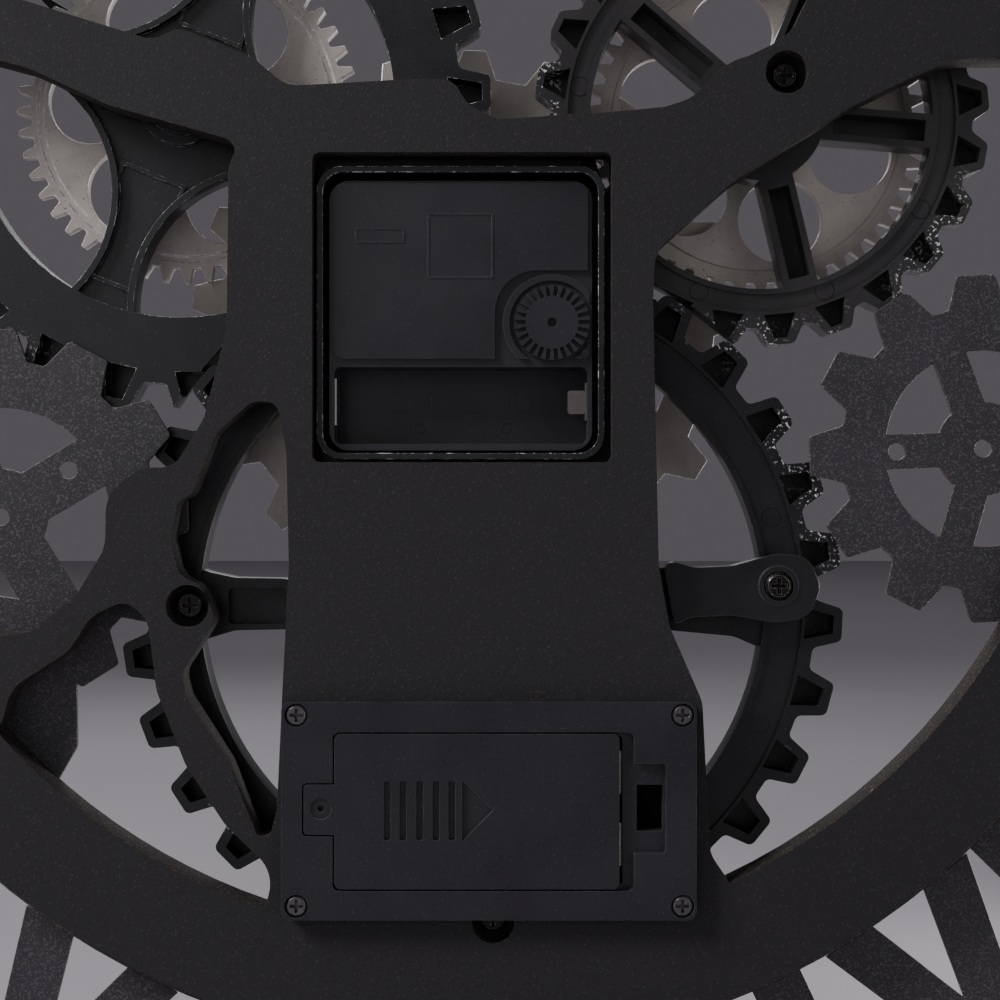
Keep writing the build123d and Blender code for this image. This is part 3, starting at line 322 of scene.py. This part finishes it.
@dataclass
class Refined:
    """A machined or moulded piece whose broken arrises show: its CAD shape with the sharp edges eased."""

    node: str
    face: Finish
    edge: Finish
    side: Finish | None = None
    ease_mm: float = 0.3
    segments: int = 2
    sharp_deg: float = 40.0
    seam_deg: float = 35.0              # edges sharper than this stay crisp in the shading
    merge: float = 2e-6                 # metres within which the CAD mesh's loose corners are one
    level_deg: float = 0.6              # triangles that turn less than this are one flat face
    facing: float = 0.97                # a face counts as front or back when its normal is this much along Y

    def build(self) -> bpy.types.Object:
        """Makes the eased copy, dresses it and puts it in the CAD node's place.

        Returns:
            The eased piece.
        """
        source = frame["nodes"][self.node]
        bm = bmesh.new()
        bm.from_mesh(source.data)
        bmesh.ops.remove_doubles(bm, verts=bm.verts, dist=self.merge)
        bmesh.ops.dissolve_limit(bm, angle_limit=radians(self.level_deg), verts=bm.verts, edges=bm.edges)
        sharp = [edge for edge in bm.edges
                 if len(edge.link_faces) == 2 and edge.calc_face_angle() > radians(self.sharp_deg)]
        eased = bmesh.ops.bevel(bm, geom=sharp, offset=self.ease_mm * MM, offset_type="OFFSET",
                                segments=self.segments, profile=0.5, affect="EDGES", material=-1,
                                clamp_overlap=True)
        easing = set(eased["faces"])
        for piece in bm.faces:
            flat = abs(piece.normal.y) > self.facing
            piece.smooth = piece in easing or not flat
            if piece in easing:
                piece.material_index = 1
            elif not flat and self.side:
                piece.material_index = 2
        for seam in bm.edges:
            if len(seam.link_faces) == 2:
                seam.smooth = seam.calc_face_angle() < radians(self.seam_deg)
        mesh = bpy.data.meshes.new(self.node + "_eased")
        bm.to_mesh(mesh)
        bm.free()
        for paint in (self.face, self.edge, self.side):
            if paint:
                mesh.materials.append(paint.material())
        piece = bpy.data.objects.new(self.node + "_eased", mesh)
        bpy.context.scene.collection.objects.link(piece)
        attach(piece, source["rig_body"])
        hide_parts(self.node)
        LOG.info("%s: %d faces", piece.name, len(mesh.polygons))
        return piece


@dataclass
class BoardAndDial:
    """The board frame and the sheet-steel dial with its flat gears."""

    board: tuple[str, ...] = ("back_frame",)
    sheets: tuple[str, ...] = ("dial_inner_ring", "dial_outer_ring", "dial_numerals", "sheet_gear_left",
                               "sheet_gear_right")

    def build(self) -> None:
        """Eases and paints the board, then the sheets."""
        for node in self.board:
            Refined(node, Paint.BOARD.value, Paint.BOARD_ARRIS.value, Paint.BOARD_CUT.value,
                    ease_mm=0.45).build()
        for node in self.sheets:
            Refined(node, Paint.POWDER.value, Paint.POWDER_EDGE_CHIPS_AND_HIGHLIGHT.value, Paint.POWDER_EDGE_CHIPS_AND_HIGHLIGHT.value,
                    ease_mm=0.15).build()


@dataclass
class Mouldings:
    """The gear rings, the lug plate and the movement pocket."""

    # The radius where each ring's tooth wall starts, and two colours for the same ABS: painted shade makes the
    # lower ring darkest, and painted light makes the small ring the greyest.
    rings: dict[str, tuple[float, str, str]] = field(default_factory=lambda: {
        "gear_ring_lower": (0.0700, "#121317", "#1a1b1f"),
        "gear_ring_upper_right": (0.0590, "#17181c", "#1f2024"),
        "gear_ring_upper_left": (0.0432, "#2c2a2c", "#373536")})

    def build(self) -> None:
        """Eases each moulding; the silver under its paint shows on the tooth walls and on the pocket's rim."""
        for node, (radius, base, cloud) in self.rings.items():
            centre = self.axis(node)
            # each ring's base and cloud paint light and shade onto the same moulded ABS; the rubbed tooth walls
            # are real wear
            face = replace(Paint.ABS.value, name=f"moulded_abs_{node}", base=base, cloud=cloud, worn_share=0.34,
                           worn_round=(centre.x, centre.z, radius))
            Refined(node, face, Paint.ABS_SCUFF.value, ease_mm=0.28).build()
        Refined("gear_bridge", Paint.LUG_PAINTED_SHADE.value, Paint.ABS_ARRIS_PAINTED_HIGHLIGHT.value, ease_mm=0.22).build()
        Refined("movement_pocket", Paint.ABS.value, Paint.ABS_SCUFF.value, ease_mm=0.25).build()

    def axis(self, node: str) -> Vector:
        """Finds the middle of a ring, from the silver gear in front of it or from the ring's own box.

        Args:
            node: the ring's name.

        Returns:
            A point on its axis.
        """
        for joint in frame["joints"]:
            if joint["name"] == {"gear_ring_upper_right": "right_rotor_spin",
                                 "gear_ring_upper_left": "left_rotor_spin"}.get(node):
                return Vector(joint["pos_m"])
        low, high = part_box(node)
        return Vector(((low.x + high.x) / 2, 0.0, low.z + (high.x - low.x) / 2))


@dataclass
class TurningGears:
    """The silver gears that turn."""

    wheels: tuple[str, ...] = ("turning_gear_right", "turning_gear_left", "drive_gear", "star_gear")

    def build(self) -> None:
        """Eases each wheel; the paint is rubbed bright on the teeth."""
        for node in self.wheels:
            Refined(node, Paint.SILVER.value, Paint.SILVER_EDGE.value, ease_mm=0.25).build()


@dataclass
class Movement:
    """The quartz movement's case and knob, with its moulded marks."""

    cases: tuple[str, ...] = ("movement_back_case", "movement_front_case", "setting_knob")

    def build(self) -> None:
        """Eases the case and knob."""
        for node in self.cases:
            Refined(node, Paint.CASE.value, Paint.CASE_ARRIS_PAINTED_HIGHLIGHT.value, ease_mm=0.18).build()


@dataclass
class BatteryBox:
    """The two-cell battery box and its sliding door."""

    shells: tuple[str, ...] = ("battery_box_housing", "battery_door")

    def build(self) -> None:
        """Eases the housing and the door."""
        for node in self.shells:
            Refined(node, Paint.BOX.value, Paint.BOX_ARRIS_PAINTED_HIGHLIGHT.value, ease_mm=0.22).build()


@dataclass
class SmallParts:
    """Screws, contacts, hands and the pieces inside, which keep their CAD shape or an eased copy of it."""

    eased: dict[str, tuple[Paint, Paint]] = field(default_factory=lambda: {
        "frame_screws": (Paint.BLACKED, Paint.BLACKED_EDGE),
        "bridge_screw": (Paint.BLACKED, Paint.BLACKED_EDGE),
        "battery_box_screws": (Paint.ZINC, Paint.BLACKED_EDGE),
        "hanger_screws": (Paint.BLACKED, Paint.BLACKED_EDGE),
        "motor_screws": (Paint.BLACKED, Paint.BLACKED_EDGE),
        "hanger_plate": (Paint.NICKEL, Paint.NICKEL), "shoulder_screw_right": (Paint.NICKEL, Paint.NICKEL),
        "shoulder_screw_left": (Paint.NICKEL, Paint.NICKEL), "hour_hand": (Paint.LACQUER, Paint.LACQUER),
        "minute_hand": (Paint.LACQUER, Paint.LACQUER), "hand_nut": (Paint.BRASS, Paint.BRASS),
        "bushing_nut": (Paint.BRASS, Paint.BRASS), "bushing_washer": (Paint.BRASS, Paint.BRASS)})
    kept: dict[str, Paint] = field(default_factory=lambda: {
        "movement_contacts": Paint.NICKEL, "movement_coil": Paint.COPPER, "movement_stator": Paint.IRON,
        "movement_circuit": Paint.LAMINATE, "stepper_rotor": Paint.ACETAL, "second_wheel": Paint.ACETAL,
        "third_wheel": Paint.ACETAL, "centre_wheel": Paint.BRASS, "minute_wheel": Paint.ACETAL,
        "hour_wheel": Paint.ACETAL, "drive_motor": Paint.IRON, "motor_pinion": Paint.ACETAL,
        "battery_box_contacts": Paint.NICKEL})

    def build(self) -> None:
        """Eases what shows and dresses what stays."""
        for node, (face, edge) in self.eased.items():
            Refined(node, face.value, edge.value, ease_mm=0.1).build()
        for node, paint in self.kept.items():
            mesh = frame["nodes"][node].data
            mesh.materials.clear()
            mesh.materials.append(paint.value.material())


@dataclass(frozen=True)
class Lamp:
    """A square soft light: where it stands, what it faces, its side in metres and its power in watts."""

    name: str
    place: tuple[float, float, float]
    aim: tuple[float, float, float]
    side: float
    watts: float

    def build(self) -> None:
        """Sets the light up, turned to its aim."""
        lamp = bpy.data.lights.new(self.name, "AREA")
        lamp.size, lamp.energy = self.side, self.watts
        light = bpy.data.objects.new(self.name, lamp)
        light.location = self.place
        light.rotation_euler = (Vector(self.aim) - Vector(self.place)).to_track_quat("-Z", "Y").to_euler()
        bpy.context.scene.collection.objects.link(light)


@dataclass
class Studio:
    """The pale floor, the soft light and the camera square to the clock's back."""

    distance: float = 0.400             # from the board's back face
    aim_x: float = -0.00737
    aim_z: float = -0.03895
    focal_mm: float = 68.4
    sensor_mm: float = 36.0
    clip: tuple[float, float] = (0.01, 50)
    floor_drop: float = 0.02            # under the clock's lowest point
    floor_half: float = 6.0
    floor_cells: int = 8
    sky: str = "#918b93"
    sky_strength: float = 0.34
    lamps: tuple[Lamp, ...] = (
        Lamp("key_light", (0.75, BACK + 0.42, 0.62), (0, BACK, 0), 0.35, 10.5),
        Lamp("fill_light", (-0.8, BACK + 0.7, 0.0), (0, BACK, -0.05), 0.8, 1.9),
        Lamp("back_light", (0.55, BACK + 1.1, 0.25), (0, BACK, 0), 0.9, 1.3),
        Lamp("rim_light", (-0.5, -0.35, -0.1), (0, 0, -0.02), 0.3, 2.5),
        Lamp("dial_light", (0.3, -1.2, 0.9), (0, 0, 0), 1.0, 7.0),
        Lamp("floor_light", (0.0, -2.6, 2.4), (0, -2.6, 0), 3.0, 12.0))

    def build(self) -> None:
        """Makes the floor, the world, the lights and the camera."""
        self.lay_floor()
        self.hang_sky()
        for lamp in self.lamps:
            lamp.build()
        self.set_camera()

    def lay_floor(self) -> None:
        """Lays a level floor just below the clock."""
        bm = bmesh.new()
        bmesh.ops.create_grid(bm, x_segments=self.floor_cells, y_segments=self.floor_cells,
                              size=self.floor_half)
        bmesh.ops.translate(bm, verts=bm.verts, vec=(0, 0, CAD_BOX[0][2] - self.floor_drop))
        mesh = bpy.data.meshes.new("studio_floor")
        bm.to_mesh(mesh)
        bm.free()
        mesh.materials.append(Paint.FLOOR.value.material())
        floor = bpy.data.objects.new("studio_floor", mesh)
        bpy.context.scene.collection.objects.link(floor)

    def hang_sky(self) -> None:
        """Surrounds the clock with an even grey."""
        world = bpy.data.worlds.new("pale_studio")
        world.use_nodes = True
        sky = world.node_tree.nodes["Background"]
        sky.inputs["Color"].default_value = linear(self.sky)
        sky.inputs["Strength"].default_value = self.sky_strength
        bpy.context.scene.world = world

    def set_camera(self) -> None:
        """Points a camera straight at the back of the board."""
        lens = bpy.data.cameras.new("back_camera")
        lens.lens, lens.sensor_width = self.focal_mm, self.sensor_mm
        lens.clip_start, lens.clip_end = self.clip
        camera = bpy.data.objects.new("back_camera", lens)
        camera.location = (self.aim_x, BACK + self.distance, self.aim_z)
        camera.rotation_euler = (pi / 2, 0, pi)
        bpy.context.scene.collection.objects.link(camera)
        bpy.context.scene.camera = camera


def main() -> None:
    """Builds each sub-assembly in order, then the studio."""
    for group in (BoardAndDial(), Mouldings(), TurningGears(), Movement(), BatteryBox(), SmallParts(),
                  Studio()):
        LOG.info("building %s", type(group).__name__)
        group.build()


if __name__ == "__main__":
    logging.basicConfig(level=logging.INFO)
    main()
